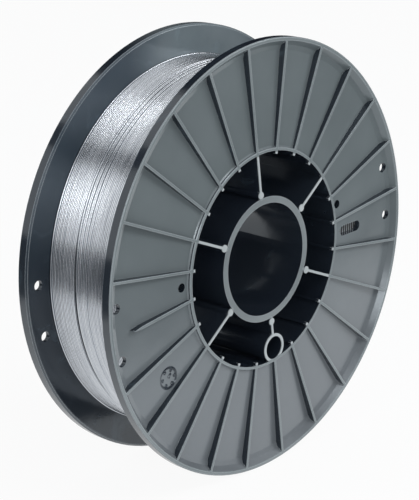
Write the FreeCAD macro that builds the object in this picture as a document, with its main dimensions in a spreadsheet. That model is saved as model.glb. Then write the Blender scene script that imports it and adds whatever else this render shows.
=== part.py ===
"""Small welding wire spool: one moulded plastic spool with its winding of wire.

Millimetres, +Z up. The spool's axis is Y. The origin is the centre of the bore, midway
between the two faces. Angles are read from the face at -Y: 0 is +X and 90 is +Z.
"""
import FreeCAD, Part
import math
import os
import Sketcher

SIZES = [
    # alias, value, what it is
    ("flange_diameter", 200.0, "outside diameter of both flanges"),
    ("overall_width", 55.0, "face to face over the two flanges"),
    ("flange_thickness", 5.2, "wire side of a flange to its face"),
    ("lip_wall", 1.6, "radial thickness of the raised lip at the face"),
    ("lip_slope", 2.3, "radial width of the steep slope up to the lip"),
    ("lip_sweep", 2.3, "radial width of the easy slope at its foot"),
    ("lip_sweep_rise", 0.7, "rise of the easy slope"),
    ("rim_chamfer", 0.8, "chamfer of the rim on the wire side"),
    ("lip_chamfer", 0.35, "chamfer of the rim and of the barrel's end at the face"),
    ("web_recess_hub", 1.6, "web below the face beside the barrel"),
    ("web_recess_rim", 3.3, "web below the face at the lip"),
    ("web_corner", 0.5, "bevel in the corner between the web and the barrel's end"),
    ("barrel_diameter", 102.0, "diameter that the first layer is wound on"),
    ("barrel_wall", 1.4, "wall of the barrel"),
    ("bore_diameter", 52.0, "bore for the spindle"),
    ("bore_tube_wall", 3.0, "wall of the bore tube"),
    ("bore_tube_recess", 0.3, "bore tube below the face"),
    ("rib_phase", 7.7, "angle of the first rib, in degrees"),
    ("rib_pitch", 15.0, "angle from rib to rib, in degrees"),
    ("rib_thickness", 1.2, "thickness of a rib and of a spoke"),
    ("rib_overlap", 0.5, "how far a rib runs into the lip and the web"),
    ("short_rib_gap", 14.0, "rim to the tip of the short rib"),
    ("short_rib_taper", 5.0, "length of the tip of the short rib"),
    ("bead_diameter", 3.4, "round ejector bead on a spoke"),
    ("bead_offset", 1.8, "bore tube's outside to a bead's centre"),
    ("stub_thickness", 1.3, "thickness of a stub in the barrel"),
    ("stub_height", 1.5, "how far a stub stands in from the barrel wall"),
    ("pin_radius", 44.0, "distance of the drive pin hole from the axis"),
    ("pin_hole_diameter", 10.8, "hole for the drive pin"),
    ("pin_tube_wall", 1.4, "wall of the drive pin tube"),
    ("rim_hole_inset", 7.0, "rim to the centre of a wire end hole"),
    ("rim_hole_diameter", 4.6, "hole that parks the wire's end"),
    ("start_hole_offset", 3.6, "barrel to the centre of a wire start hole"),
    ("start_hole_diameter", 4.0, "hole for the start of the wire"),
    ("slot_offset", 4.6, "barrel to the inner end of the sight slot"),
    ("slot_length", 15.8, "length of the sight slot"),
    ("slot_width", 4.8, "width of the sight slot"),
    ("coil_depth", 13.6, "rim down to the outside of the winding"),
    ("coil_clearance", 0.1, "gap from the winding to barrel and flanges"),
]

REAR = 1
FRONT = -1
RIB_COUNT = 24
SPOKE_COUNT = 6
STUBS_PER_BAY = 3

doc = FreeCAD.newDocument("wire_spool")
sheet = doc.addObject("Spreadsheet::Sheet", "Sizes")
for row, (alias, value, meaning) in enumerate(SIZES, start=1):
    sheet.set("A%d" % row, meaning)
    sheet.set("B%d" % row, "%g" % value)
    sheet.setAlias("B%d" % row, alias)
doc.recompute()


def size(formula):
    """Write a formula of the sheet's aliases as an expression of the document."""
    words = formula.replace("(", " ( ").replace(")", " ) ").split()
    aliases = {alias for alias, _, _ in SIZES}
    return " ".join("Sizes." + word if word in aliases else word for word in words)


def bind(owner, path, formula):
    """Tie one property of an object to the sheet."""
    owner.setExpression(path, size(formula))


def number(formula):
    """The present value of a formula, for the first guess of a sketch."""
    value = sheet.evalExpression(size(formula))
    return float(getattr(value, "Value", value))


def origin_item(body, role):
    """A plane or an axis of the body's own origin."""
    return next(item for item in body.Origin.OriginFeatures if item.Role == role)


def place_distance(sketch, kind, geometry, point, formula):
    """Hold one coordinate of a point at a bound distance from the sketch's origin."""
    index = sketch.addConstraint(Sketcher.Constraint(kind, -1, 1, geometry, point, number(formula)))
    bind(sketch, "Constraints[%d]" % index, formula)


def half_section(body, name, corners):
    """Closed outline in the plane of radius and width, from its corners in order."""
    sketch = body.newObject("Sketcher::SketchObject", name)
    sketch.AttachmentSupport = (origin_item(body, "XY_Plane"), [""])
    sketch.MapMode = "FlatFace"
    points = [FreeCAD.Vector(number(across), number(along), 0) for across, along in corners]
    for start, end in zip(points, points[1:] + points[:1]):
        sketch.addGeometry(Part.LineSegment(start, end), False)
    for index, (across, along) in enumerate(corners):
        previous = (index - 1) % len(corners)
        sketch.addConstraint(Sketcher.Constraint("Coincident", previous, 2, index, 1))
        place_distance(sketch, "DistanceX", index, 1, across)
        if along == MIDDLE:
            sketch.addConstraint(Sketcher.Constraint("PointOnObject", index, 1, -1))
        else:
            place_distance(sketch, "DistanceY", index, 1, along)
    return sketch


def face_sketch(body, name, angle, side=REAR):
    """Empty sketch on one face, turned so that its X axis is the ray at an angle."""
    sketch = body.newObject("Sketcher::SketchObject", name)
    sketch.AttachmentSupport = (origin_item(body, "XZ_Plane"), [""])
    sketch.MapMode = "FlatFace"
    sketch.AttachmentOffset = FreeCAD.Placement(
        FreeCAD.Vector(0, 0, 1), FreeCAD.Rotation(FreeCAD.Vector(0, 0, 1), 1))
    bind(sketch, "AttachmentOffset.Base.z", "%d * overall_width / 2" % -side)
    bind(sketch, "AttachmentOffset.Rotation.Angle", angle)
    return sketch


def draw_bar(sketch, inner, outer, thickness):
    """Rectangle along the sketch's X axis from one radius to another."""
    near = number(inner)
    far = number(outer)
    half = number(thickness) / 2
    corners = [(near, -half), (far, -half), (far, half), (near, half)]
    points = [FreeCAD.Vector(x, y, 0) for x, y in corners]
    for start, end in zip(points, points[1:] + points[:1]):
        sketch.addGeometry(Part.LineSegment(start, end), False)
    for index in range(4):
        sketch.addConstraint(Sketcher.Constraint("Coincident", index, 2, (index + 1) % 4, 1))
    for index in (0, 2):
        sketch.addConstraint(Sketcher.Constraint("Horizontal", index))
    sketch.addConstraint(Sketcher.Constraint("Vertical", 1))
    sketch.addConstraint(Sketcher.Constraint("Symmetric", 3, 1, 3, 2, -1))
    place_distance(sketch, "DistanceX", 0, 1, inner)
    place_distance(sketch, "DistanceX", 0, 2, outer)
    width = sketch.addConstraint(Sketcher.Constraint("DistanceY", 1, 1, 1, 2, 2 * half))
    bind(sketch, "Constraints[%d]" % width, thickness)


def draw_pointed_bar(sketch, inner, outer, thickness, taper):
    """Bar along the sketch's X axis whose outer end runs out to a point."""
    near = number(inner)
    tip = number(outer)
    shoulder = tip - number(taper)
    half = number(thickness) / 2
    corners = [(near, -half), (shoulder, -half), (tip, 0), (shoulder, half), (near, half)]
    points = [FreeCAD.Vector(x, y, 0) for x, y in corners]
    for start, end in zip(points, points[1:] + points[:1]):
        sketch.addGeometry(Part.LineSegment(start, end), False)
    for index in range(5):
        sketch.addConstraint(Sketcher.Constraint("Coincident", index, 2, (index + 1) % 5, 1))
    sketch.addConstraint(Sketcher.Constraint("PointOnObject", 1, 2, -1))
    sketch.addConstraint(Sketcher.Constraint("Symmetric", 0, 2, 3, 1, -1))
    sketch.addConstraint(Sketcher.Constraint("Symmetric", 4, 1, 4, 2, -1))
    sketch.addConstraint(Sketcher.Constraint("Horizontal", 0))
    place_distance(sketch, "DistanceX", 0, 1, inner)
    place_distance(sketch, "DistanceX", 1, 2, outer)
    place_distance(sketch, "DistanceX", 0, 2, "%s - %s" % (outer, taper))
    width = sketch.addConstraint(Sketcher.Constraint("DistanceY", 4, 2, 4, 1, 2 * half))
    bind(sketch, "Constraints[%d]" % width, thickness)


def draw_circle(sketch, distance, diameter):
    """Circle centred on the sketch's X axis."""
    centre = FreeCAD.Vector(number(distance), 0, 0)
    circle = sketch.addGeometry(
        Part.Circle(centre, FreeCAD.Vector(0, 0, 1), number(diameter) / 2), False)
    sketch.addConstraint(Sketcher.Constraint("PointOnObject", circle, 3, -1))
    place_distance(sketch, "DistanceX", circle, 3, distance)
    across = sketch.addConstraint(Sketcher.Constraint("Diameter", circle, number(diameter)))
    bind(sketch, "Constraints[%d]" % across, diameter)


def draw_slot(sketch, inner_end, outer_end, width):
    """Slot with round ends along the sketch's X axis."""
    half = number(width) / 2
    near = number(inner_end) + half
    far = number(outer_end) - half
    up = FreeCAD.Vector(0, 0, 1)
    quarter = math.pi / 2
    sketch.addGeometry(Part.LineSegment(
        FreeCAD.Vector(near, half, 0), FreeCAD.Vector(far, half, 0)), False)
    sketch.addGeometry(Part.ArcOfCircle(
        Part.Circle(FreeCAD.Vector(far, 0, 0), up, half), -quarter, quarter), False)
    sketch.addGeometry(Part.LineSegment(
        FreeCAD.Vector(far, -half, 0), FreeCAD.Vector(near, -half, 0)), False)
    sketch.addGeometry(Part.ArcOfCircle(
        Part.Circle(FreeCAD.Vector(near, 0, 0), up, half), quarter, 3 * quarter), False)
    for line, line_end, arc, arc_end in ((0, 2, 1, 2), (2, 1, 1, 1), (2, 2, 3, 2), (0, 1, 3, 1)):
        sketch.addConstraint(Sketcher.Constraint("Tangent", line, line_end, arc, arc_end))
    for arc in (1, 3):
        sketch.addConstraint(Sketcher.Constraint("PointOnObject", arc, 3, -1))
    place_distance(sketch, "DistanceX", 1, 3, "%s - %s / 2" % (outer_end, width))
    place_distance(sketch, "DistanceX", 3, 3, "%s + %s / 2" % (inner_end, width))
    radius = sketch.addConstraint(Sketcher.Constraint("Radius", 1, half))
    bind(sketch, "Constraints[%d]" % radius, "%s / 2" % width)


def pad(body, name, sketch, length, side=REAR):
    """Pad from one face towards the middle."""
    feature = body.newObject("PartDesign::Pad", name)
    feature.Profile = sketch
    feature.Refine = False
    feature.Reversed = side == FRONT
    bind(feature, "Length", length)
    return feature


def pocket(body, name, sketch, length):
    """Pocket from the rear face towards the middle."""
    feature = body.newObject("PartDesign::Pocket", name)
    feature.Profile = sketch
    feature.Refine = False
    feature.Reversed = True
    bind(feature, "Length", length)
    return feature


def turn(body, name, sketch):
    """Full turn of a half section about the spool's axis."""
    feature = body.newObject("PartDesign::Revolution", name)
    feature.Profile = sketch
    feature.ReferenceAxis = (sketch, ["V_Axis"])
    feature.Angle = 360
    return feature


def repeat(body, name, originals, count, step):
    """Copies of features turned about the spool's axis, a bound step apart."""
    feature = body.newObject("PartDesign::PolarPattern", name)
    feature.Originals = originals
    feature.Refine = False
    feature.Axis = (origin_item(body, "Y_Axis"), [""])
    feature.Reversed = True
    feature.Occurrences = count
    bind(feature, "Angle", "%s * %d" % (step, count - 1))
    body.Tip = feature
    return feature


MIDDLE = "0"
FACE = "overall_width / 2"
WIRE_SIDE = "overall_width / 2 - flange_thickness"
RIM = "flange_diameter / 2"
LIP_INSIDE = "flange_diameter / 2 - lip_wall"
LIP_FOOT = "flange_diameter / 2 - lip_wall - lip_slope"
WEB_AT_RIM = "overall_width / 2 - web_recess_rim"
WEB_AT_HUB = "overall_width / 2 - web_recess_hub"
BARREL = "barrel_diameter / 2"
BARREL_INSIDE = "barrel_diameter / 2 - barrel_wall"
BORE = "bore_diameter / 2"
TUBE_OUTSIDE = "bore_diameter / 2 + bore_tube_wall"
PANEL = "rib_phase - rib_pitch / 2"
RIB_DEPTH = "flange_thickness - rib_overlap"
SLOT_INSIDE = "barrel_diameter / 2 + slot_offset"
COIL_OUTSIDE = "flange_diameter / 2 - coil_depth"


def make_half_shell(body):
    """Turned half of the shell, from the middle of the barrel to the rear face."""
    section = half_section(body, "shell_section", [
        (BARREL_INSIDE, MIDDLE),
        (BARREL, MIDDLE),
        (BARREL, WIRE_SIDE),
        (RIM + " - rim_chamfer", WIRE_SIDE),
        (RIM, WIRE_SIDE + " + rim_chamfer"),
        (RIM, FACE + " - lip_chamfer"),
        (RIM + " - lip_chamfer", FACE),
        (LIP_INSIDE, FACE),
        (LIP_FOOT, WEB_AT_RIM + " + lip_sweep_rise"),
        (LIP_FOOT + " - lip_sweep", WEB_AT_RIM),
        (BARREL + " + web_corner", WEB_AT_HUB),
        (BARREL, WEB_AT_HUB + " + web_corner"),
        (BARREL, FACE + " - lip_chamfer"),
        (BARREL + " - lip_chamfer", FACE),
        (BARREL_INSIDE, FACE),
    ])
    return turn(body, "half_shell", section)


def make_ribs(body, side):
    """Radial ribs of one flange: all plain but one, which stops short of the lip."""
    end = "rear" if side == REAR else "front"
    plain = face_sketch(body, end + "_rib_outline", "rib_phase - rib_pitch * 11", side)
    draw_bar(plain, BARREL + " - rib_overlap", LIP_INSIDE + " + rib_overlap", "rib_thickness")
    plain_rib = pad(body, end + "_rib", plain, RIB_DEPTH, side)
    repeat(body, end + "_ribs", [plain_rib], RIB_COUNT - 1, "rib_pitch")
    short = face_sketch(body, end + "_short_rib_outline", "rib_phase + rib_pitch * 12", side)
    draw_pointed_bar(short, BARREL + " - rib_overlap", RIM + " - short_rib_gap",
                     "rib_thickness", "short_rib_taper")
    pad(body, end + "_short_rib", short, RIB_DEPTH, side)


def make_hub(body):
    """What stands inside the barrel, over the full width of the spool."""
    width = "overall_width"
    spoke_outline = face_sketch(body, "spoke_outline", "rib_phase + 2 * rib_pitch")
    draw_bar(spoke_outline, TUBE_OUTSIDE + " - rib_overlap", BARREL_INSIDE + " + rib_overlap",
             "rib_thickness")
    spoke = pad(body, "spoke", spoke_outline, width)
    bead_outline = face_sketch(body, "bead_outline", "rib_phase + 2 * rib_pitch")
    draw_circle(bead_outline, TUBE_OUTSIDE + " + bead_offset", "bead_diameter")
    bead = pad(body, "bead", bead_outline, width)
    repeat(body, "spokes", [spoke, bead], SPOKE_COUNT, "rib_pitch * 4")

    stubs = []
    for place in range(3, 3 + STUBS_PER_BAY):
        outline = face_sketch(body, "stub_outline_%d" % place, "rib_phase + %d * rib_pitch" % place)
        draw_bar(outline, BARREL_INSIDE + " - stub_height", BARREL_INSIDE + " + rib_overlap",
                 "stub_thickness")
        stubs.append(pad(body, "stub_%d" % place, outline, width))
    repeat(body, "stubs", stubs, SPOKE_COUNT, "rib_pitch * 4")

    tube_section = half_section(body, "bore_tube_section", [
        (BORE, "bore_tube_recess - overall_width / 2"),
        (TUBE_OUTSIDE, "bore_tube_recess - overall_width / 2"),
        (TUBE_OUTSIDE, "overall_width / 2 - bore_tube_recess"),
        (BORE, "overall_width / 2 - bore_tube_recess"),
    ])
    turn(body, "bore_tube", tube_section)

    pin_outline = face_sketch(body, "pin_tube_outline", "rib_phase - 6 * rib_pitch")
    draw_circle(pin_outline, "pin_radius", "pin_hole_diameter + 2 * pin_tube_wall")
    pad(body, "pin_tube", pin_outline, width)


def make_holes(body):
    """Holes along the axis: the drive pin hole, and the wire holes through both flanges."""
    width = "overall_width"
    pin_hole = face_sketch(body, "pin_hole_outline", "rib_phase - 6 * rib_pitch")
    draw_circle(pin_hole, "pin_radius", "pin_hole_diameter")
    pocket(body, "pin_hole", pin_hole, width)

    rim_holes = []
    for name, angle in (("rim_hole_a", PANEL), ("rim_hole_b", PANEL + " + rib_pitch")):
        outline = face_sketch(body, name + "_outline", angle)
        draw_circle(outline, RIM + " - rim_hole_inset", "rim_hole_diameter")
        rim_holes.append(pocket(body, name, outline, width))
    repeat(body, "rim_holes", rim_holes, 2, "rib_pitch * 12")

    for name, angle in (("start_hole_a", PANEL + " + rib_pitch"), ("start_hole_b", PANEL + " + 180")):
        outline = face_sketch(body, name + "_outline", angle)
        draw_circle(outline, BARREL + " + start_hole_offset", "start_hole_diameter")
        pocket(body, name, outline, width)

    slot_outline = face_sketch(body, "sight_slot_outline", PANEL)
    draw_slot(slot_outline, SLOT_INSIDE, SLOT_INSIDE + " + slot_length", "slot_width")
    pocket(body, "sight_slot", slot_outline, width)


def make_spool():
    """One moulding: barrel, two ribbed flanges, bore tube, spokes and drive pin tube."""
    body = doc.addObject("PartDesign::Body", "spool")
    body.Label = "spool"
    half_shell = make_half_shell(body)
    shell = body.newObject("PartDesign::Mirrored", "shell")
    shell.Originals = [half_shell]
    shell.MirrorPlane = (origin_item(body, "XZ_Plane"), [""])
    body.Tip = shell
    make_hub(body)
    make_holes(body)
    for side in (REAR, FRONT):
        make_ribs(body, side)
    body.Tip.Refine = True
    return body


def make_wire_coil():
    """The winding as one turned solid with its bore, over the full width of the barrel."""
    body = doc.addObject("PartDesign::Body", "wire_coil")
    body.Label = "wire_coil"
    inside = BARREL + " + coil_clearance"
    end = WIRE_SIDE + " - coil_clearance"
    other_end = "flange_thickness + coil_clearance - overall_width / 2"
    section = half_section(body, "coil_section", [
        (inside, other_end),
        (COIL_OUTSIDE, other_end),
        (COIL_OUTSIDE, end),
        (inside, end),
    ])
    turn(body, "winding", section)
    return body


def write_parts(parts):
    """Check every object and every solid, then write one file for each part."""
    doc.recompute()
    for item in doc.Objects:
        if "Invalid" in item.State or "Error" in item.State:
            raise RuntimeError("%s failed: %s" % (item.Name, item.State))
    for part in parts:
        if part.Shape.isNull() or not part.Shape.isValid() or len(part.Shape.Solids) != 1:
            raise RuntimeError("%s is not one valid solid" % part.Label)
    os.makedirs("parts", exist_ok=True)
    for part in parts:
        part.Shape.exportStep("parts/%s.step" % part.Label)
        print(part.Label, "volume %.1f mm3" % part.Shape.Volume)


write_parts([make_spool(), make_wire_coil()])
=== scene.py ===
# %% [markdown]
# # A small spool of welding wire
# The real object is one moulding of dark plastic, with ribbed flanges and a hollow hub, wound
# full with bright steel wire. The moulding is a CAD part, so it is shown as it is and only gets
# its plastic. The CAD winding is a plain turned ring. Here it is replaced by a surface whose
# section has one small arch for each turn of wire, because those turns catch the light one by one.

# %% Open the spool's frame
import math

import bpy
import numpy as np
from mathutils import Matrix, Quaternion, Vector


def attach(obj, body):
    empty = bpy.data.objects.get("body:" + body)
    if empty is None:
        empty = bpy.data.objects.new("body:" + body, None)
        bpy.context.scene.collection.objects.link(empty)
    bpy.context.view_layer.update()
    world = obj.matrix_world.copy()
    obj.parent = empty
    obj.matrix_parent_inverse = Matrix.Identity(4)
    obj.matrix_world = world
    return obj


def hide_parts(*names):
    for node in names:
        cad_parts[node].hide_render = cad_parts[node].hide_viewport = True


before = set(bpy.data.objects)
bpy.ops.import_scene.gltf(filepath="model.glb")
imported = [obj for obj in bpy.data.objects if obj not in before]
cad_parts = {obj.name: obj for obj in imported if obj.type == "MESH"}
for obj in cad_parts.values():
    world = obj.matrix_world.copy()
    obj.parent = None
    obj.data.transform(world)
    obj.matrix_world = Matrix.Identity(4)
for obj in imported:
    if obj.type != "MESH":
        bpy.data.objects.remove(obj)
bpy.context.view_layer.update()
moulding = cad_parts["spool"]

# %% [markdown]
# ## The sizes that the looks share
# All of them are in metres, in the frame's own axes: the spool's axis is Y, its front face looks
# along -Y, and angles are read on that face from +X towards +Z.

# %% Sizes of the winding and of the front web
WIRE_RADIUS = 0.00045
WINDING_RADIUS = 0.0864
WINDING_HALF_WIDTH = 0.0222
BARREL_RADIUS = 0.0511
FACE_Y = -0.0275
FLOOR_Z = -0.1
WEB_START, WEB_END = 0.0515, 0.0938
WEB_DEPTH, WEB_FALL = 0.0016, 0.0017
rng = np.random.default_rng(7)


def web_y(radius):
    """Place of the front web: a cone from 1.6 mm below the face at the barrel to 3.3 at the lip."""
    return FACE_Y + WEB_DEPTH + WEB_FALL * (radius - WEB_START) / (WEB_END - WEB_START)


print("web at the lip", round(web_y(WEB_END) * 1000, 2), "mm")

# %% [markdown]
# ## Where the turns lie
# Wound wire is never perfectly even. Most turns lie side by side, one pitch apart. In the middle
# of this spool seven turns are loose: above they spread out, with gaps between them, and lower
# down they close up again beside one wide gap. The last turn rides up on the rear flange. Two
# lists of positions, one for each state, and a blend between them by angle describe all of that.

# %% Positions of the turns across the winding
UNEVENNESS, LOOSE_DROP, LAST_TURN_RISE = 0.00001, 0.00008, 0.00035
front_turns = np.linspace(-0.02172, -0.0009, 24)
closed_turns = np.array([0.0004, 0.00132, 0.00224, 0.00316, 0.00408, 0.005, 0.00592])
spread_turns = np.array([0.00024, 0.00115, 0.00254, 0.00345, 0.00484, 0.00575, 0.00714])
rear_turns = np.linspace(0.0082, 0.02172, 16)
turns = np.concatenate([front_turns, closed_turns, rear_turns])
loose = slice(len(front_turns), len(front_turns) + len(closed_turns))
spread = np.zeros(len(turns))
spread[loose] = spread_turns - closed_turns
lifts = rng.normal(0, UNEVENNESS, len(turns))
lifts[loose] -= LOOSE_DROP
lifts[-1] += LAST_TURN_RISE
print(len(turns), "turns in the outer layer")

# %% [markdown]
# ## The section of the winding
# The section is a closed line in the plane of width and radius: a deep arch for each outer turn,
# so that dark lines lie between them, then one small arch for each layer down both ends, and the
# plain barrel side. It could be built from real coils, but hundreds of them would weigh millions
# of faces and look the same.

# %% Draw the section
LAYER_STEP = 0.00078
FOOT_DEPTH = 0.00055


def arches(centres, lift):
    """Each turn: width = centre + wire radius * sin a, radius = centre + wire radius * cos a.

    The two points at the ends of each arch lie deeper by the depth of the foot.
    """
    angle = np.array([-1.4, -1.4, -0.8, 0.0, 0.8, 1.4, 1.4])
    foot = np.array([FOOT_DEPTH, 0, 0, 0, 0, 0, FOOT_DEPTH])
    width = centres[:, None] + WIRE_RADIUS * np.sin(angle)
    radius = WINDING_RADIUS - WIRE_RADIUS + lift[:, None] + WIRE_RADIUS * np.cos(angle) - foot
    return width.ravel(), radius.ravel(), np.repeat(np.arange(len(centres)), len(angle))


def end_layers(side):
    """End line from the outside in: an arch for each layer, every second one half a wire deeper."""
    layer = np.arange(int((WINDING_RADIUS - BARREL_RADIUS) / LAYER_STEP))
    angle = np.array([0.85, 0.0, -0.85])
    centre = WINDING_RADIUS - WIRE_RADIUS - LAYER_STEP * layer[:, None]
    depth = WIRE_RADIUS * (layer[:, None] % 2) + WIRE_RADIUS * (1 - np.cos(angle))
    radius = centre + WIRE_RADIUS * np.sin(angle)
    return side * (WINDING_HALF_WIDTH - depth).ravel(), np.maximum(radius.ravel(), BARREL_RADIUS)


outer_y, outer_r, outer_turn = arches(turns, lifts)
rear_y, rear_r = end_layers(1)
front_y, front_r = end_layers(-1)
section_y = np.concatenate([outer_y, rear_y, front_y[::-1]])
section_r = np.concatenate([outer_r, rear_r, front_r[::-1]])
print(len(section_y), "points in the section")

# %% [markdown]
# ## Turn the section about the axis
# A surface of revolution is the section carried round a circle. Each outer turn also wanders a
# little along the width as it goes round, as real wire does, so the lines in the gloss are not
# ruler straight, and the loose turns open and close with the angle.

# %% How the turns wander
WANDER = 0.000008


def wander(angle, turn_count):
    """Sideways drift of each turn: two slow sine waves round the spool, with random sizes."""
    size = rng.normal(0, WANDER, (turn_count, 2))
    start = rng.uniform(0, 2 * np.pi, (turn_count, 2))
    order = np.array([1, 3])
    waves = np.sin(order[None, :, None] * angle + start[:, :, None])
    return np.sum(size[:, :, None] * waves, axis=1)


def openness(angle):
    """1 from 60 to 150 degrees, 0 from 190 to 350, with a cosine rise and fall between them."""
    degrees = np.degrees(angle) % 360
    rise = np.clip((degrees + np.where(degrees > 180, -350, 10)) / 70, 0, 1)
    fall = np.clip((190 - degrees) / 40, 0, 1)
    return (0.5 - 0.5 * np.cos(np.pi * rise)) * (0.5 - 0.5 * np.cos(np.pi * fall))


def winding_drift(angle):
    """Drift of every section point: that of its own turn on the outside, none on the ends."""
    of_turn = wander(angle, len(turns)) + spread[:, None] * openness(angle)
    still = np.zeros((len(section_y) - len(outer_y), len(angle)))
    return np.concatenate([of_turn[outer_turn], still])


print("loose turns are open by", openness(np.radians([0, 90, 270])).round(2), "at 0, 90 and 270")

# %% Make the winding
ROUND_STEPS = 144


def new_piece(name, points, faces, smooth):
    """A new object at the origin, from a list of points and a list of faces."""
    mesh = bpy.data.meshes.new(name)
    mesh.from_pydata(points, [], faces)
    mesh.polygons.foreach_set("use_smooth", np.full(len(mesh.polygons), smooth))
    mesh.update()
    piece = bpy.data.objects.new(name, mesh)
    bpy.context.collection.objects.link(piece)
    return piece


def revolve(name, y, r, drift, steps):
    """Ring mesh: point (i, j) = (r_i cos angle_j, y_i + drift_i(angle_j), r_i sin angle_j).

    It is closed both ways, and the order of its corners turns every face outwards.
    """
    angle = np.linspace(0, 2 * np.pi, steps, endpoint=False)
    across = y[:, None] + drift(angle)
    points = np.stack([r[:, None] * np.cos(angle), across, r[:, None] * np.sin(angle)], axis=2)
    i, j = np.meshgrid(np.arange(len(y)), np.arange(steps), indexing="ij")
    i_on, j_on = (i + 1) % len(y), (j + 1) % steps
    corners = [i * steps + j, i_on * steps + j, i_on * steps + j_on, i * steps + j_on]
    faces = np.stack(corners, axis=2).reshape(-1, 4)
    return new_piece(name, points.reshape(-1, 3).tolist(), faces.tolist(), True)


winding = revolve("wound_wire", section_y, section_r, winding_drift, ROUND_STEPS)
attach(winding, "root")
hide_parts("wire_coil")
print("winding", len(winding.data.polygons) * 2, "triangles")

# %% [markdown]
# ## The mould mark
# Near the lip the moulder's insert leaves a small round mark: a raised ring with six dots and a
# pointer, like a clock without figures. It is fine relief of 0.7 mm, so it is a height field here,
# laid on the web. Where the height is zero it lies just below the web, unseen. An attribute on its
# points says where its walls are: they take the polished gloss and a near black colour, painted
# shade.

# %% Relief of the mark
MARK_RELIEF = 0.0007
RING_PLACE, RING_WIDTH, RING_TURN = 0.0047, 0.00042, 0.1
RING_LEVEL, RING_SWING = 0.55, 0.45
DOT_PLACE, DOT_WIDTH, DOT_COUNT, DOT_TURN = 0.0035, 0.0005, 6, 0.8
POINTER_PLACE, POINTER_WIDTH, POINTER_TURN = 0.0011, 0.0005, 0.9


def mark_height(rho, phi):
    """Bell curves: a ring at 4.7 mm, lower on its left, dots at 3.5 and a pointer up to 2 mm."""
    ring = np.exp(-((rho - RING_PLACE) / RING_WIDTH) ** 2)
    ring = ring * (RING_LEVEL + RING_SWING * np.cos(phi + RING_TURN))
    dots = np.exp(-((rho - DOT_PLACE) / DOT_WIDTH) ** 2)
    dots = dots * np.maximum(np.cos(DOT_COUNT * phi - DOT_TURN), 0)
    pointer = np.exp(-((rho - POINTER_PLACE) / POINTER_PLACE) ** 4)
    pointer = pointer * np.exp(-(rho * np.sin(phi - POINTER_TURN) / POINTER_WIDTH) ** 2)
    pointer = pointer * (np.cos(phi - POINTER_TURN) > 0)
    return MARK_RELIEF * np.maximum(np.maximum(ring, dots), pointer)


print("the mark stands out by", MARK_RELIEF * 1000, "mm")

# %% Lay the mark on the front web
MARK_ANGLE, MARK_PLACE, MARK_RADIUS = math.radians(212.2), 0.0738, 0.0057
MARK_FIRST_RING, MARK_SINK = 0.00005, 0.00003


def height_disc(name, radius, rings, spokes):
    """Disc mesh: point (i, j) = centre + rho_i (cos phi_j, sin phi_j), raised off the web.

    One more point in the middle, the mean of the first ring, closes the disc with a fan.
    """
    rho = np.linspace(MARK_FIRST_RING, radius, rings)[:, None]
    phi = np.linspace(0, 2 * np.pi, spokes, endpoint=False)[None, :]
    x = MARK_PLACE * math.cos(MARK_ANGLE) + rho * np.cos(phi)
    z = MARK_PLACE * math.sin(MARK_ANGLE) + rho * np.sin(phi)
    height = mark_height(rho, phi)
    y = web_y(np.hypot(x, z)) + MARK_SINK - height
    points = np.stack([x, y, z], axis=2)
    middle = points[0].mean(axis=0)
    i, j = np.meshgrid(np.arange(rings - 1), np.arange(spokes), indexing="ij")
    on = (j + 1) % spokes
    corners = [i * spokes + j, (i + 1) * spokes + j, (i + 1) * spokes + on, i * spokes + on]
    quads = np.stack(corners, axis=2).reshape(-1, 4)
    fan = np.stack([np.full(spokes, rings * spokes), j[0], on[0]], axis=1)
    all_points = points.reshape(-1, 3).tolist() + [middle.tolist()]
    piece = new_piece(name, all_points, quads.tolist() + fan.tolist(), True)
    # The walls get the polished gloss and its near black colour, painted shade that draws the mark
    # in dark lines.
    share = height / MARK_RELIEF
    walls = np.clip(8 * share * (1 - share), 0, 1)
    polish_and_shade = piece.data.attributes.new("polish_and_shade", "FLOAT", "POINT")
    polish_and_shade.data.foreach_set("value", np.append(walls.ravel(), 0.0))
    return piece


mark = height_disc("mould_mark", MARK_RADIUS, 56, 96)
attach(mark, "root")
print("mark", len(mark.data.polygons), "faces")

# %% [markdown]
# ## Node helpers
# Every material below is a small network of nodes. Short helpers keep the networks readable: one
# starts a material, one feeds a socket from another or sets it to a plain value, and one adds a
# node with its inputs. Three more make a colour ramp, a noise and a change of range.

# %% Helpers for materials


def new_material(name):
    """A node material; returns it, its node tree and its shader."""
    material = bpy.data.materials.new(name)
    material.use_nodes = True
    return material, material.node_tree, material.node_tree.nodes["Principled BSDF"]


def feed(tree, value, socket):
    """Join a socket to the one that feeds it, or set a plain number or colour on it."""
    if isinstance(value, bpy.types.NodeSocket):
        tree.links.new(value, socket)
    else:
        socket.default_value = value


def add(tree, kind, **inputs):
    """One node with some of its inputs fed or set."""
    node = tree.nodes.new(kind)
    for name, value in inputs.items():
        feed(tree, value, node.inputs[name.replace("_", " ")])
    return node


def ramp(tree, source, low, high, first, last):
    """Values between low and high become a blend from the first colour to the last."""
    node = add(tree, "ShaderNodeValToRGB", Fac=source)
    node.color_ramp.elements[0].position = low
    node.color_ramp.elements[0].color = (*first, 1)
    node.color_ramp.elements[1].position = high
    node.color_ramp.elements[1].color = (*last, 1)
    return node.outputs["Color"]


def noise(tree, place, **inputs):
    """Cloudy grey values from 0 to 1, worked out at each place."""
    return add(tree, "ShaderNodeTexNoise", Vector=place, **inputs).outputs["Fac"]


def remap(tree, source, low, high):
    """A value from 0 to 1 becomes a number between low and high."""
    return add(tree, "ShaderNodeMapRange", Value=source, To_Min=low, To_Max=high).outputs["Result"]


print("helpers ready")

# %% [markdown]
# ## Charcoal plastic
# The moulding is dark polystyrene. The mould is polished where the wire lies, on the rims and down
# the sides of the ribs, which look nearly black. The outer panels and the tops of the ribs have a
# satin finish, which makes them greyer, and those that stand flush with the face are rubbed a
# little paler. All three finishes are one material: masks worked out from the distance to the
# axis, the distance from the middle and the way a surface faces say where each one is.

# %% Helpers for masks


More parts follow.
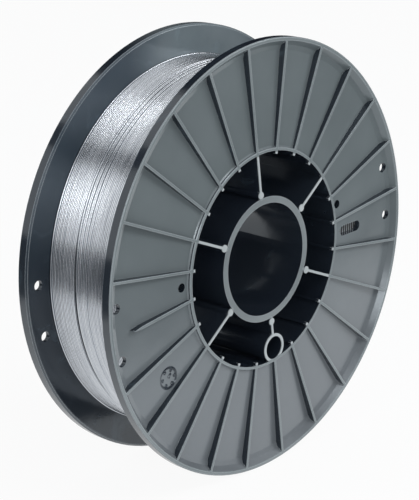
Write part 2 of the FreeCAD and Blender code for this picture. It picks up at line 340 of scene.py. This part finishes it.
def step_up(tree, source, low, high, least=0.0):
    """The least value below low, 1 above high and a smooth rise between them."""
    node = add(tree, "ShaderNodeMapRange", Value=source, From_Min=low, From_Max=high, To_Min=least)
    node.interpolation_type = "SMOOTHSTEP"
    return node.outputs["Result"]


def maths(tree, operation, *terms):
    """One sum, product or other operation, on sockets and plain numbers."""
    node = tree.nodes.new("ShaderNodeMath")
    node.operation = operation
    for term, socket in zip(terms, node.inputs):
        feed(tree, term, socket)
    return node.outputs["Value"]


def vector_maths(tree, operation, *vectors):
    """One operation on vectors that gives a number, such as a length or a distance."""
    node = tree.nodes.new("ShaderNodeVectorMath")
    node.operation = operation
    for vector, socket in zip(vectors, node.inputs):
        feed(tree, vector, socket)
    return node.outputs["Value"]


def from_axis(tree, axes):
    """Distance to the spool's axis: the length of the place with its Y left out."""
    flat = add(tree, "ShaderNodeCombineXYZ", X=axes.outputs["X"], Z=axes.outputs["Z"])
    return vector_maths(tree, "LENGTH", flat.outputs["Vector"])


print("mask helpers ready")

# %% Masks for the three finishes
WEB_OUTSIDE = (0.0232, 0.0236)
PAST_BARREL = (0.0505, 0.0508)
RIM_START = (0.0984, 0.0988)
FACES_SIDEWAYS = (0.35, 0.6)
FLUSH_WITH_FACE = (0.02705, 0.02725)

plastic, tree, shader = new_material("charcoal_plastic")
coordinates = tree.nodes.new("ShaderNodeTexCoord")
place = coordinates.outputs["Object"]
axes = add(tree, "ShaderNodeSeparateXYZ", Vector=place)
radius = from_axis(tree, axes)
from_middle = maths(tree, "ABSOLUTE", axes.outputs["Y"])
outer_side = step_up(tree, from_middle, *WEB_OUTSIDE)
on_rim = step_up(tree, radius, *RIM_START)
between = maths(tree, "SUBTRACT", step_up(tree, radius, *PAST_BARREL), on_rim)
normal = add(tree, "ShaderNodeSeparateXYZ", Vector=coordinates.outputs["Normal"])
level = step_up(tree, maths(tree, "ABSOLUTE", normal.outputs["Y"]), *FACES_SIDEWAYS)
# The mould mark's walls take the polished gloss and dark colour; the dark there is painted shade.
polish_and_shade = tree.nodes.new("ShaderNodeAttribute")
polish_and_shade.attribute_name = "polish_and_shade"
satin_left = maths(tree, "SUBTRACT", 1.0, polish_and_shade.outputs["Fac"])
outside = maths(tree, "MULTIPLY", outer_side, between)
panels = maths(tree, "MULTIPLY", maths(tree, "MULTIPLY", outside, level), satin_left)
rubbed = step_up(tree, from_middle, *FLUSH_WITH_FACE)
print("masks for panels and rubbed ends")

# %% [markdown]
# ## Colours of the finishes
# No finish is one flat colour: a soft noise moves each of them between two near shades. The satin
# is painted a little paler low down: painted light from the white floor. The ends that stand flush
# with the face are the most rubbed on the spokes in the hub.

# %% Shades of satin, rubbed and polished plastic
CLOUD_LIMITS = (0.3, 0.75)
FLOOR_LIGHT_HEIGHTS = (0.03, -0.08)
TUBE_OUTSIDE, TUBE_SHARE = (0.0292, 0.0296), 0.2
BARREL_INSIDE = (0.0492, 0.0488)


def blend_colours(tree, mask, first, last, way="MIX"):
    """The first colour where the mask is 0 and the last where it is 1, or the last one added."""
    node = tree.nodes.new("ShaderNodeMix")
    node.data_type = "RGBA"
    node.blend_type = way
    for socket, value in (("Factor", mask), ("A", first), ("B", last)):
        feed(tree, value, node.inputs[socket])
    return node.outputs["Result"]


clouds = noise(tree, place, Scale=22.0, Detail=4.0, Roughness=0.55)
polished = ramp(tree, clouds, *CLOUD_LIMITS, (0.011, 0.014, 0.02), (0.018, 0.023, 0.029))
satin_high = ramp(tree, clouds, *CLOUD_LIMITS, (0.121, 0.141, 0.147), (0.145, 0.168, 0.175))
# The lower satin shades are paler: painted light from the floor.
satin_floor_lit = ramp(tree, clouds, *CLOUD_LIMITS, (0.139, 0.152, 0.164), (0.166, 0.181, 0.194))
scuffed = ramp(tree, clouds, *CLOUD_LIMITS, (0.155, 0.18, 0.187), (0.21, 0.235, 0.242))
worn = ramp(tree, clouds, *CLOUD_LIMITS, (0.37, 0.4, 0.405), (0.47, 0.5, 0.505))
# Towards the bottom the satin blends to its paler shades: painted light from the floor.
floor_light_share = step_up(tree, axes.outputs["Z"], *FLOOR_LIGHT_HEIGHTS)
satin = blend_colours(tree, floor_light_share, satin_high, satin_floor_lit)
outside_tube = step_up(tree, radius, *TUBE_OUTSIDE, least=TUBE_SHARE)
spokes = maths(tree, "MULTIPLY", outside_tube, step_up(tree, radius, *BARREL_INSIDE))
flush = blend_colours(tree, spokes, scuffed, worn)
print("five shades of one plastic")

# %% [markdown]
# ## Hand marks, a painted reflection and painted light inside the flanges
# The polished insides show how the spool was handled, in wiped streaks from a hand. A paler patch
# near the top of the rear flange is a painted reflection, and above the wire a thin grey layer that
# is stronger towards the top is painted light.

# %% Soil the polished plastic and paint light on it
REFLECTION_PATCH_PLACE, REFLECTION_PATCH_EDGE = (0.016, 0.0225, 0.092), (0.055, 0.015)
REFLECTION_PATCH_LIMITS = (0.35, 0.65)
STREAK_LIMITS = (0.56, 0.72)
BEYOND_WIRE, FACING_WIRE, TOP_LIGHT_RISE = (0.086, 0.087), (0.0236, 0.0232), (-0.02, 0.05)
TOP_LIGHT_COLOUR = (0.018, 0.027, 0.034, 1)

# A paler patch near the top of the rear flange's inside: a painted reflection.
reflection_patch_distance = vector_maths(tree, "DISTANCE", place, REFLECTION_PATCH_PLACE)
reflection_patch = step_up(tree, reflection_patch_distance, *REFLECTION_PATCH_EDGE)
reflection_patch_colour = ramp(tree, clouds, *REFLECTION_PATCH_LIMITS, (0.12, 0.14, 0.146), (0.17, 0.19, 0.196))
inside = blend_colours(tree, reflection_patch, polished, reflection_patch_colour)
streaks = noise(tree, place, Scale=38.0, Detail=5.0, Roughness=0.6, Distortion=1.2)
wiped = step_up(tree, streaks, *STREAK_LIMITS)
hand_marks = ramp(tree, wiped, 0.0, 1.0, (0.0, 0.001, 0.003), (0.022, 0.032, 0.04))
inside_marked = blend_colours(tree, 1.0, inside, hand_marks, way="ADD")
# Above the wire the insides of the flanges get a grey added that grows towards the top: painted
# light.
facing_wire = step_up(tree, from_middle, *FACING_WIRE)
painted_top_light = maths(tree, "MULTIPLY", step_up(tree, radius, *BEYOND_WIRE), facing_wire)
painted_top_light = maths(tree, "MULTIPLY", painted_top_light, step_up(tree, axes.outputs["Z"], *TOP_LIGHT_RISE))
inside_with_top_light = blend_colours(tree, painted_top_light, inside_marked, TOP_LIGHT_COLOUR, way="ADD")
print("dust, hand marks and haze")

# %% [markdown]
# ## Painted edge highlights
# The corners of the lips and ribs get a thin pale line: a painted highlight of their rounded edges.
# A Bevel node gives the normal of a slightly rounded corner; where it differs from the true one,
# there is an edge. Low down the rims take part of the paler satin colour: painted light from the
# floor.

# %% Put the colours together
RIM_FLOOR_LIGHT, EDGE_HIGHLIGHT_STRENGTH = 0.45, 0.8
EDGE_RADIUS, EDGE_BEND, STANDS_OUT = 0.0004, (0.05, 0.35), (0.0258, 0.0262)
EDGE_HIGHLIGHT_COLOUR = (0.36, 0.39, 0.41, 1)

# Low down the rims take part of the paler satin colour: painted light from the floor.
floor_lit_rim = maths(tree, "MULTIPLY", on_rim, floor_light_share)
satin_and_rim_light_share = maths(tree, "MULTIPLY_ADD", floor_lit_rim, RIM_FLOOR_LIGHT, panels)
finish = blend_colours(tree, satin_and_rim_light_share, inside_with_top_light, satin)
whole = blend_colours(tree, rubbed, finish, flush)
edges = add(tree, "ShaderNodeBevel", Radius=EDGE_RADIUS)
edges.samples = 6
true_normal = tree.nodes.new("ShaderNodeNewGeometry").outputs["Normal"]
bend = vector_maths(tree, "DISTANCE", edges.outputs["Normal"], true_normal)
near_edge = step_up(tree, bend, *EDGE_BEND)
standing_out = maths(tree, "MAXIMUM", step_up(tree, from_middle, *STANDS_OUT), on_rim)
# The pale lines on the edges are painted highlights.
edge_highlight_share = maths(tree, "MULTIPLY", near_edge, standing_out)
edge_highlight_share = maths(tree, "MULTIPLY", edge_highlight_share, EDGE_HIGHLIGHT_STRENGTH)
feed(tree, blend_colours(tree, edge_highlight_share, whole, EDGE_HIGHLIGHT_COLOUR), shader.inputs["Base Color"])
# The pale edge lines in this colour are painted highlights.
print("colour with worn edges")

# %% [markdown]
# ## Gloss and relief of the plastic
# The polished parts are smooth and the satin ones a little duller. A moulding also shrinks as it
# cools, which leaves soft waves in its gloss, and its satin skin has a fine grain.

# %% Gloss and relief
POLISHED_ROUGHNESS, SATIN_EXTRA = (0.1, 0.22), (0.02, 0.1)

gloss = noise(tree, place, Scale=45.0, Detail=3.0)
smooth = remap(tree, gloss, *POLISHED_ROUGHNESS)
dull = maths(tree, "MULTIPLY", panels, remap(tree, gloss, *SATIN_EXTRA))
feed(tree, maths(tree, "ADD", smooth, dull), shader.inputs["Roughness"])
waves = noise(tree, place, Scale=60.0, Detail=2.0)
grain = noise(tree, place, Scale=900.0, Detail=2.0)
wave_bump = add(tree, "ShaderNodeBump", Strength=0.35, Distance=0.0006, Height=waves,
                Normal=edges.outputs["Normal"])
grain_bump = add(tree, "ShaderNodeBump", Strength=0.25, Distance=0.00006, Height=grain,
                 Normal=wave_bump.outputs["Normal"])
feed(tree, grain_bump.outputs["Normal"], shader.inputs["Normal"])
shader.inputs["IOR"].default_value = 1.6
shader.inputs["Specular IOR Level"].default_value = 0.62
shader.inputs["Specular Tint"].default_value = (0.86, 0.94, 1.0, 1)
moulding.data.materials.clear()
moulding.data.materials.append(plastic)
mark.data.materials.append(plastic)
print("plastic on", moulding.name)

# %% [markdown]
# ## Drawn steel wire
# Drawn wire is bright along its length and finely scratched by the die. On the wound spool that
# reads as lines of slightly different grey, one for each turn, so one noise reads the width alone
# and another is stretched round the axis. Deep in the gaps between the turns, most between the
# loose ones, the wire is painted dark: painted shade. On the ends of the winding every second
# layer is painted bright and the ones between dark: painted light and shade.

# %% Make the steel
TURN_NOISE_SHARE, STEEL_LIMITS = 0.6, (0.55, 1.05)
WINDING_ENDS, LAYER_LIGHT_LIMITS = (0.0218, 0.02215), (0.1, 0.9)
BELOW_TURNS, IN_GROOVES = (0.0853, 0.0848), (0.08572, 0.0855)
GROOVE_SHADE_COLOUR = (0.03, 0.032, 0.038, 1)
WIRE_ROUGHNESS, ENDS_EXTRA = (0.17, 0.3), (0.15, 0.3)

steel, tree, shader = new_material("drawn_steel")
place = tree.nodes.new("ShaderNodeTexCoord").outputs["Object"]
axes = add(tree, "ShaderNodeSeparateXYZ", Vector=place)
width_only = add(tree, "ShaderNodeCombineXYZ", Y=axes.outputs["Y"])
turn_noise = noise(tree, width_only.outputs["Vector"], Scale=1100.0, Detail=1.0)
stretch = add(tree, "ShaderNodeMapping", Vector=place, Scale=(1.0, 14.0, 1.0))
patches = noise(tree, stretch.outputs["Vector"], Scale=60.0, Detail=4.0)
mixed = maths(tree, "MULTIPLY_ADD", turn_noise, TURN_NOISE_SHARE, patches)
bright = ramp(tree, mixed, *STEEL_LIMITS, (0.48, 0.51, 0.55), (0.63, 0.66, 0.7))
# On the ends of the winding the crests are painted bright and the wire between them dark: painted
# light and shade.
at_ends = step_up(tree, maths(tree, "ABSOLUTE", axes.outputs["Y"]), *WINDING_ENDS)
layer_ends_light_and_shade = ramp(tree, at_ends, *LAYER_LIGHT_LIMITS, (0.02, 0.02, 0.025), (0.85, 0.88, 0.92))
reach = from_axis(tree, axes)
below_top = step_up(tree, reach, *BELOW_TURNS)
# Deep between the turns the wire is painted dark: painted shade.
painted_groove_shade = step_up(tree, reach, *IN_GROOVES)
turns_and_shaded_gaps = blend_colours(tree, painted_groove_shade, bright, GROOVE_SHADE_COLOUR)
feed(tree, blend_colours(tree, below_top, turns_and_shaded_gaps, layer_ends_light_and_shade), shader.inputs["Base Color"])
rough_wire = remap(tree, patches, *WIRE_ROUGHNESS)
rough_ends = maths(tree, "MULTIPLY", below_top, remap(tree, patches, *ENDS_EXTRA))
feed(tree, maths(tree, "ADD", rough_wire, rough_ends), shader.inputs["Roughness"])
shader.inputs["Metallic"].default_value = 1.0
winding.data.materials.append(steel)
print("steel on", winding.name)

# %% [markdown]
# ## Floor and background
# The photograph is on plain white. The world and the floor are white where the camera, a
# reflection or clear plastic sees them, and the floor keeps part of its own shading, so that the
# spool's soft shadow stays on it.

# %% White world
WHITE = (1, 1, 1, 1)


def seen_directly(tree):
    """1 for camera, glossy and transmission rays, 0 for the diffuse light on the object."""
    rays = tree.nodes.new("ShaderNodeLightPath").outputs
    camera_or_gloss = maths(tree, "MAXIMUM", rays["Is Camera Ray"], rays["Is Glossy Ray"])
    return maths(tree, "MAXIMUM", camera_or_gloss, rays["Is Transmission Ray"])


def mix_shaders(tree, share, first, last):
    """The first shader where the share is 0 and the last where it is 1."""
    node = add(tree, "ShaderNodeMixShader", Fac=share)
    tree.links.new(first, node.inputs[1])
    tree.links.new(last, node.inputs[2])
    return node.outputs["Shader"]


world = bpy.data.worlds.new("studio")
bpy.context.scene.world = world
world.use_nodes = True
tree = world.node_tree
ambient = tree.nodes["Background"]
ambient.inputs["Color"].default_value = (0.9, 0.95, 1.0, 1)
ambient.inputs["Strength"].default_value = 0.6
backdrop = add(tree, "ShaderNodeBackground", Color=WHITE, Strength=1.0)
sky = mix_shaders(
    tree, seen_directly(tree), ambient.outputs["Background"], backdrop.outputs["Background"])
feed(tree, sky, tree.nodes["World Output"].inputs["Surface"])
print("world", world.name)

# %% Pale floor
FLOOR_REACH, FLOOR_WHITE = 3, 0.93
floor_corners = [(-FLOOR_REACH, -FLOOR_REACH, FLOOR_Z), (FLOOR_REACH, -FLOOR_REACH, FLOOR_Z),
                 (FLOOR_REACH, FLOOR_REACH, FLOOR_Z), (-FLOOR_REACH, FLOOR_REACH, FLOOR_Z)]
floor = new_piece("floor", floor_corners, [(0, 1, 2, 3)], False)

pale, tree, shader = new_material("pale_floor")
shader.inputs["Base Color"].default_value = (0.8, 0.8, 0.8, 1)
shader.inputs["Roughness"].default_value = 0.9
shader.inputs["Specular IOR Level"].default_value = 0.1
white = add(tree, "ShaderNodeEmission", Color=WHITE, Strength=1.0)
share = maths(tree, "MULTIPLY", seen_directly(tree), FLOOR_WHITE)
surface = mix_shaders(tree, share, shader.outputs["BSDF"], white.outputs["Emission"])
feed(tree, surface, tree.nodes["Material Output"].inputs["Surface"])
floor.data.materials.append(pale)
print("floor at", FLOOR_Z)

# %% [markdown]
# ## Soft lamps
# Four soft boxes light the spool: a large one high on the left, a long one high in front and a
# small one low in front, which draw the highlights on the wire, and a large one in front on the
# right, which lights the panels. Each is named for its place and aimed at the middle of the spool.

# %% Place the soft boxes


def soft_box(name, place, width, height, turn, watts):
    """A rectangular area lamp that looks at the middle of the spool, turned about its own view."""
    lamp = bpy.data.lights.new(name, "AREA")
    lamp.shape = "RECTANGLE"
    lamp.size, lamp.size_y = width, height
    lamp.energy = watts
    box = bpy.data.objects.new(name, lamp)
    box.location = place
    facing_in = (-Vector(place)).to_track_quat("-Z", "Y")
    box.rotation_euler = (facing_in @ Quaternion((0, 0, 1), math.radians(turn))).to_euler()
    bpy.context.collection.objects.link(box)
    return box


soft_box("soft_box_left", (-0.95, -0.35, 0.7), width=0.8, height=0.5, turn=0, watts=1.0)
soft_box("soft_box_high_front", (-0.06, -0.79, 0.83), width=0.42, height=0.16, turn=40, watts=2.1)
soft_box("soft_box_low_front", (-0.61, -0.92, 0.32), width=0.22, height=0.3, turn=0, watts=2.0)
soft_box("soft_box_right", (0.75, -0.75, 0.55), width=0.6, height=0.4, turn=0, watts=5)

# %% [markdown]
# ## Dark cards
# Glossy plastic and wire only look glossy when they have something dark to mirror as well as
# something bright. A photographer stands dark cards beside the object for that. Here a low grey
# one curves round the left, a tall black one stands behind and one in front on the floor, a narrow
# one arches over the left and a small one shades the far end of the bore. Only reflections see
# them, so they cast no shadow and stay out of every picture.

# %% Helpers for the cards


def card_surface(name, colour):
    """A dull surface without highlights."""
    material, _, shader = new_material(name)
    shader.inputs["Base Color"].default_value = colour
    shader.inputs["Roughness"].default_value = 0.9
    shader.inputs["Specular IOR Level"].default_value = 0.0
    return material


def card(name, points_low, points_high, surface):
    """A strip between a low and a high line of points, one quad from each pair to the next."""
    count = len(points_low)
    i = np.arange(count - 1)
    faces = np.stack([i, i + 1, i + 1 + count, i + count], axis=1)
    points = np.concatenate([points_low, points_high])
    strip = new_piece(name, points.tolist(), faces.tolist(), False)
    strip.visible_camera = False
    strip.visible_diffuse = False
    strip.visible_transmission = False
    strip.visible_shadow = False
    strip.data.materials.append(surface)
    return strip


def upright_card(name, line, height, surface):
    """A card that rises straight up from a line of points."""
    return card(name, line, np.add(line, [0, 0, height]), surface)


black = card_surface("black_card", (0.01, 0.01, 0.012, 1))
grey = card_surface("grey_card", (0.08, 0.085, 0.095, 1))
print("card surfaces", black.name, grey.name)

# %% Stand the cards
LOW_CARD_RADIUS, LOW_CARD_HEIGHT = 0.32, 0.13
BACK_CARD_HEIGHT, FRONT_CARD_HEIGHT = 1.3, 0.3
HUB_CARD_RADIUS, HUB_CARD_Y, HUB_CARD_SLOPE, HUB_CARD_DROP = 0.0262, 0.0285, 0.2278, 0.0075

turned = np.radians(np.linspace(100, 212, 24))
low_x, low_y = LOW_CARD_RADIUS * np.cos(turned), LOW_CARD_RADIUS * np.sin(turned)
low_line = np.stack([low_x, low_y, np.full(len(turned), FLOOR_Z)], axis=1)
upright_card("low_card", low_line, LOW_CARD_HEIGHT, grey)

back_line = [(0.04, 0.5, 0.02), (0.5, 0.5, 0.02), (0.75, 0.25, 0.02), (0.75, -0.3, 0.02)]
upright_card("back_card", back_line, BACK_CARD_HEIGHT, black)

turned = np.radians(np.linspace(180, 0, 17))
hub_x, hub_y = HUB_CARD_RADIUS * np.cos(turned), np.full(len(turned), HUB_CARD_Y)
hub_low = np.stack([hub_x, hub_y, HUB_CARD_SLOPE * hub_x - HUB_CARD_DROP], axis=1)
hub_high = np.stack([hub_x, hub_y, HUB_CARD_RADIUS * np.sin(turned)], axis=1)
card("hub_card", hub_low, hub_high, grey)

arch_low = [(-0.276, 0.598, 0.351), (-0.425, 0.444, 0.458), (-0.548, 0.122, 0.547),
            (-0.523, -0.234, 0.529), (-0.358, -0.526, 0.41), (-0.134, -0.668, 0.249)]
arch_high = [(-0.179, 0.592, 0.414), (-0.314, 0.444, 0.537), (-0.428, 0.131, 0.641),
             (-0.41, -0.218, 0.626), (-0.267, -0.508, 0.494), (-0.069, -0.652, 0.313)]
card("arch_card", arch_low, arch_high, grey)

front_line = [(-0.1, -0.16, FLOOR_Z), (0.2, -0.16, FLOOR_Z),
              (0.28, -0.165, FLOOR_Z), (0.7, -0.2, FLOOR_Z)]
upright_card("front_card", front_line, FRONT_CARD_HEIGHT, black)
print("five cards stand round the spool")

# %% [markdown]
# ## Camera
# The camera was fitted to the outlines of both flanges: it stands 0.835 m away, 48.3 degrees to
# the left of the front face and 17.3 degrees up. The spool's centre is a few pixels right of and
# above the middle of the picture, so the camera is moved sideways by that much, unturned.

# %% Place the camera
AZIMUTH, ELEVATION, DISTANCE = math.radians(-48.278), math.radians(17.278), 0.83495
SHIFT_LEFT, SHIFT_DOWN = 0.00513, 0.00114
FOCAL_PIXELS, PICTURE_HEIGHT, SENSOR = 1824.84, 500, 36

level_reach = math.cos(ELEVATION)
back = Vector((math.sin(AZIMUTH) * level_reach, -math.cos(AZIMUTH) * level_reach,
               math.sin(ELEVATION)))
right = Vector((math.cos(AZIMUTH), math.sin(AZIMUTH), 0))
up = back.cross(right)
lens = bpy.data.cameras.new("camera")
lens.sensor_width = SENSOR
lens.lens = FOCAL_PIXELS / PICTURE_HEIGHT * SENSOR
camera = bpy.data.objects.new("camera", lens)
facing = Matrix((right, up, back)).transposed().to_4x4()
stand = back * DISTANCE - right * SHIFT_LEFT - up * SHIFT_DOWN
camera.matrix_world = Matrix.Translation(stand) @ facing
bpy.context.collection.objects.link(camera)
bpy.context.scene.camera = camera
print("camera at", [round(v, 3) for v in camera.matrix_world.translation])

# %% Finish
bpy.context.scene.view_settings.view_transform = "Standard"
